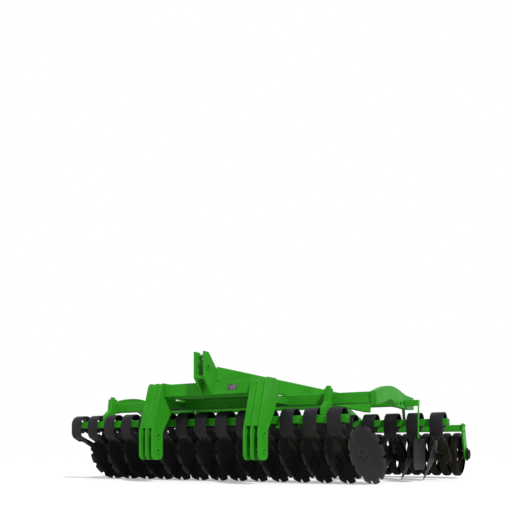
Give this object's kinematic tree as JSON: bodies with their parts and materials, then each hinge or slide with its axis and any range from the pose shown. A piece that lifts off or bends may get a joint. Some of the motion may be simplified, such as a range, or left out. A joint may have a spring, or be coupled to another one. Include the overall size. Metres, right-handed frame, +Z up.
{
  "type": "mounted disc harrow",
  "caption": "Mounted short disc harrow: two rows of notched discs on C shaped spring arms under a beam frame, a three point hitch in front and a ring roller behind.",
  "frame": {"origin": "on the ground, under the middle of the whole machine", "axes": "+X to the right as seen by someone in front who faces the machine, along the beams; +Y to the rear, towards the roller; +Z up"},
  "size_m": [4.09, 3.11, 1.312],
  "materials": {
    "frame_paint": "satin green paint",
    "spring_steel": "dark paint on spring steel",
    "clamp_steel": "dark satin",
    "cast_hub": "dark cast",
    "deflector_steel": "dark grey paint",
    "roller_steel": "dark brownish paint",
    "disc_steel": "dark rolled steel"
  },
  "bodies": {
    "frame": {"deflector_arm": "frame_paint", "deflector_plate": "deflector_steel", "frame_leg_left": "frame_paint", "frame_leg_right": "frame_paint", "front_disc_beam": "frame_paint", "front_disc_carriers": "cast_hub", "front_hanger_left": "frame_paint", "front_hanger_right": "frame_paint", "front_spring_arms": "spring_steel", "front_spring_clamps": "clamp_steel", "hitch_bracket_left": "frame_paint", "hitch_bracket_right": "frame_paint", "hitch_plate": "frame_paint", "main_cross_beam": "frame_paint", "mast": "frame_paint", "rear_cross_beam": "frame_paint", "rear_disc_beam": "frame_paint", "rear_disc_carriers": "cast_hub", "rear_hanger_left": "frame_paint", "rear_hanger_right": "frame_paint", "rear_spring_arms": "spring_steel", "rear_spring_clamps": "clamp_steel", "roller_arm_left": "frame_paint", "roller_arm_right": "frame_paint", "roller_beam": "frame_paint", "roller_side_plate_left": "frame_paint", "roller_side_plate_right": "frame_paint", "side_plate_left": "frame_paint", "side_plate_right": "frame_paint", "top_cross_beam": "frame_paint"},
    "front_disc_01": {"front_disc_01": "disc_steel"},
    "front_disc_02": {"front_disc_02": "disc_steel"},
    "front_disc_03": {"front_disc_03": "disc_steel"},
    "front_disc_04": {"front_disc_04": "disc_steel"},
    "front_disc_05": {"front_disc_05": "disc_steel"},
    "front_disc_06": {"front_disc_06": "disc_steel"},
    "front_disc_07": {"front_disc_07": "disc_steel"},
    "front_disc_08": {"front_disc_08": "disc_steel"},
    "front_disc_09": {"front_disc_09": "disc_steel"},
    "front_disc_10": {"front_disc_10": "disc_steel"},
    "front_disc_11": {"front_disc_11": "disc_steel"},
    "front_disc_12": {"front_disc_12": "disc_steel"},
    "front_disc_13": {"front_disc_13": "disc_steel"},
    "front_disc_14": {"front_disc_14": "disc_steel"},
    "rear_disc_01": {"rear_disc_01": "disc_steel"},
    "rear_disc_02": {"rear_disc_02": "disc_steel"},
    "rear_disc_03": {"rear_disc_03": "disc_steel"},
    "rear_disc_04": {"rear_disc_04": "disc_steel"},
    "rear_disc_05": {"rear_disc_05": "disc_steel"},
    "rear_disc_06": {"rear_disc_06": "disc_steel"},
    "rear_disc_07": {"rear_disc_07": "disc_steel"},
    "rear_disc_08": {"rear_disc_08": "disc_steel"},
    "rear_disc_09": {"rear_disc_09": "disc_steel"},
    "rear_disc_10": {"rear_disc_10": "disc_steel"},
    "rear_disc_11": {"rear_disc_11": "disc_steel"},
    "rear_disc_12": {"rear_disc_12": "disc_steel"},
    "rear_disc_13": {"rear_disc_13": "disc_steel"},
    "rear_disc_14": {"rear_disc_14": "disc_steel"},
    "roller": {"roller": "roller_steel"}
  },
  "joints": [
    {"name": "front_disc_01_spin", "type": "hinge", "parent": "frame", "child": "front_disc_01", "pos_m": [-1.7625, -0.773, 0.28978], "axis": [0.933, -0.25, 0.2588], "continuous": true},
    {"name": "front_disc_02_spin", "type": "hinge", "parent": "frame", "child": "front_disc_02", "pos_m": [-1.5125, -0.773, 0.28978], "axis": [0.933, -0.25, 0.2588], "continuous": true},
    {"name": "front_disc_03_spin", "type": "hinge", "parent": "frame", "child": "front_disc_03", "pos_m": [-1.2625, -0.773, 0.28978], "axis": [0.933, -0.25, 0.2588], "continuous": true},
    {"name": "front_disc_04_spin", "type": "hinge", "parent": "frame", "child": "front_disc_04", "pos_m": [-1.0125, -0.773, 0.28978], "axis": [0.933, -0.25, 0.2588], "continuous": true},
    {"name": "front_disc_05_spin", "type": "hinge", "parent": "frame", "child": "front_disc_05", "pos_m": [-0.7625, -0.773, 0.28978], "axis": [0.933, -0.25, 0.2588], "continuous": true},
    {"name": "front_disc_06_spin", "type": "hinge", "parent": "frame", "child": "front_disc_06", "pos_m": [-0.5125, -0.773, 0.28978], "axis": [0.933, -0.25, 0.2588], "continuous": true},
    {"name": "front_disc_07_spin", "type": "hinge", "parent": "frame", "child": "front_disc_07", "pos_m": [-0.2625, -0.773, 0.28978], "axis": [0.933, -0.25, 0.2588], "continuous": true},
    {"name": "front_disc_08_spin", "type": "hinge", "parent": "frame", "child": "front_disc_08", "pos_m": [-0.0125, -0.773, 0.28978], "axis": [0.933, -0.25, 0.2588], "continuous": true},
    {"name": "front_disc_09_spin", "type": "hinge", "parent": "frame", "child": "front_disc_09", "pos_m": [0.2375, -0.773, 0.28978], "axis": [0.933, -0.25, 0.2588], "continuous": true},
    {"name": "front_disc_10_spin", "type": "hinge", "parent": "frame", "child": "front_disc_10", "pos_m": [0.4875, -0.773, 0.28978], "axis": [0.933, -0.25, 0.2588], "continuous": true},
    {"name": "front_disc_11_spin", "type": "hinge", "parent": "frame", "child": "front_disc_11", "pos_m": [0.7375, -0.773, 0.28978], "axis": [0.933, -0.25, 0.2588], "continuous": true},
    {"name": "front_disc_12_spin", "type": "hinge", "parent": "frame", "child": "front_disc_12", "pos_m": [0.9875, -0.773, 0.28978], "axis": [0.933, -0.25, 0.2588], "continuous": true},
    {"name": "front_disc_13_spin", "type": "hinge", "parent": "frame", "child": "front_disc_13", "pos_m": [1.2375, -0.773, 0.28978], "axis": [0.933, -0.25, 0.2588], "continuous": true},
    {"name": "front_disc_14_spin", "type": "hinge", "parent": "frame", "child": "front_disc_14", "pos_m": [1.4875, -0.773, 0.28978], "axis": [0.933, -0.25, 0.2588], "continuous": true},
    {"name": "rear_disc_01_spin", "type": "hinge", "parent": "frame", "child": "rear_disc_01", "pos_m": [-1.4875, 0.497, 0.28978], "axis": [-0.933, -0.25, 0.2588], "continuous": true},
    {"name": "rear_disc_02_spin", "type": "hinge", "parent": "frame", "child": "rear_disc_02", "pos_m": [-1.2375, 0.497, 0.28978], "axis": [-0.933, -0.25, 0.2588], "continuous": true},
    {"name": "rear_disc_03_spin", "type": "hinge", "parent": "frame", "child": "rear_disc_03", "pos_m": [-0.9875, 0.497, 0.28978], "axis": [-0.933, -0.25, 0.2588], "continuous": true},
    {"name": "rear_disc_04_spin", "type": "hinge", "parent": "frame", "child": "rear_disc_04", "pos_m": [-0.7375, 0.497, 0.28978], "axis": [-0.933, -0.25, 0.2588], "continuous": true},
    {"name": "rear_disc_05_spin", "type": "hinge", "parent": "frame", "child": "rear_disc_05", "pos_m": [-0.4875, 0.497, 0.28978], "axis": [-0.933, -0.25, 0.2588], "continuous": true},
    {"name": "rear_disc_06_spin", "type": "hinge", "parent": "frame", "child": "rear_disc_06", "pos_m": [-0.2375, 0.497, 0.28978], "axis": [-0.933, -0.25, 0.2588], "continuous": true},
    {"name": "rear_disc_07_spin", "type": "hinge", "parent": "frame", "child": "rear_disc_07", "pos_m": [0.0125, 0.497, 0.28978], "axis": [-0.933, -0.25, 0.2588], "continuous": true},
    {"name": "rear_disc_08_spin", "type": "hinge", "parent": "frame", "child": "rear_disc_08", "pos_m": [0.2625, 0.497, 0.28978], "axis": [-0.933, -0.25, 0.2588], "continuous": true},
    {"name": "rear_disc_09_spin", "type": "hinge", "parent": "frame", "child": "rear_disc_09", "pos_m": [0.5125, 0.497, 0.28978], "axis": [-0.933, -0.25, 0.2588], "continuous": true},
    {"name": "rear_disc_10_spin", "type": "hinge", "parent": "frame", "child": "rear_disc_10", "pos_m": [0.7625, 0.497, 0.28978], "axis": [-0.933, -0.25, 0.2588], "continuous": true},
    {"name": "rear_disc_11_spin", "type": "hinge", "parent": "frame", "child": "rear_disc_11", "pos_m": [1.0125, 0.497, 0.28978], "axis": [-0.933, -0.25, 0.2588], "continuous": true},
    {"name": "rear_disc_12_spin", "type": "hinge", "parent": "frame", "child": "rear_disc_12", "pos_m": [1.2625, 0.497, 0.28978], "axis": [-0.933, -0.25, 0.2588], "continuous": true},
    {"name": "rear_disc_13_spin", "type": "hinge", "parent": "frame", "child": "rear_disc_13", "pos_m": [1.5125, 0.497, 0.28978], "axis": [-0.933, -0.25, 0.2588], "continuous": true},
    {"name": "rear_disc_14_spin", "type": "hinge", "parent": "frame", "child": "rear_disc_14", "pos_m": [1.7625, 0.497, 0.28978], "axis": [-0.933, -0.25, 0.2588], "continuous": true},
    {"name": "roller_spin", "type": "hinge", "parent": "frame", "child": "roller", "pos_m": [0, 1.295, 0.29], "axis": [1, 0, 0], "continuous": true}
  ]
}
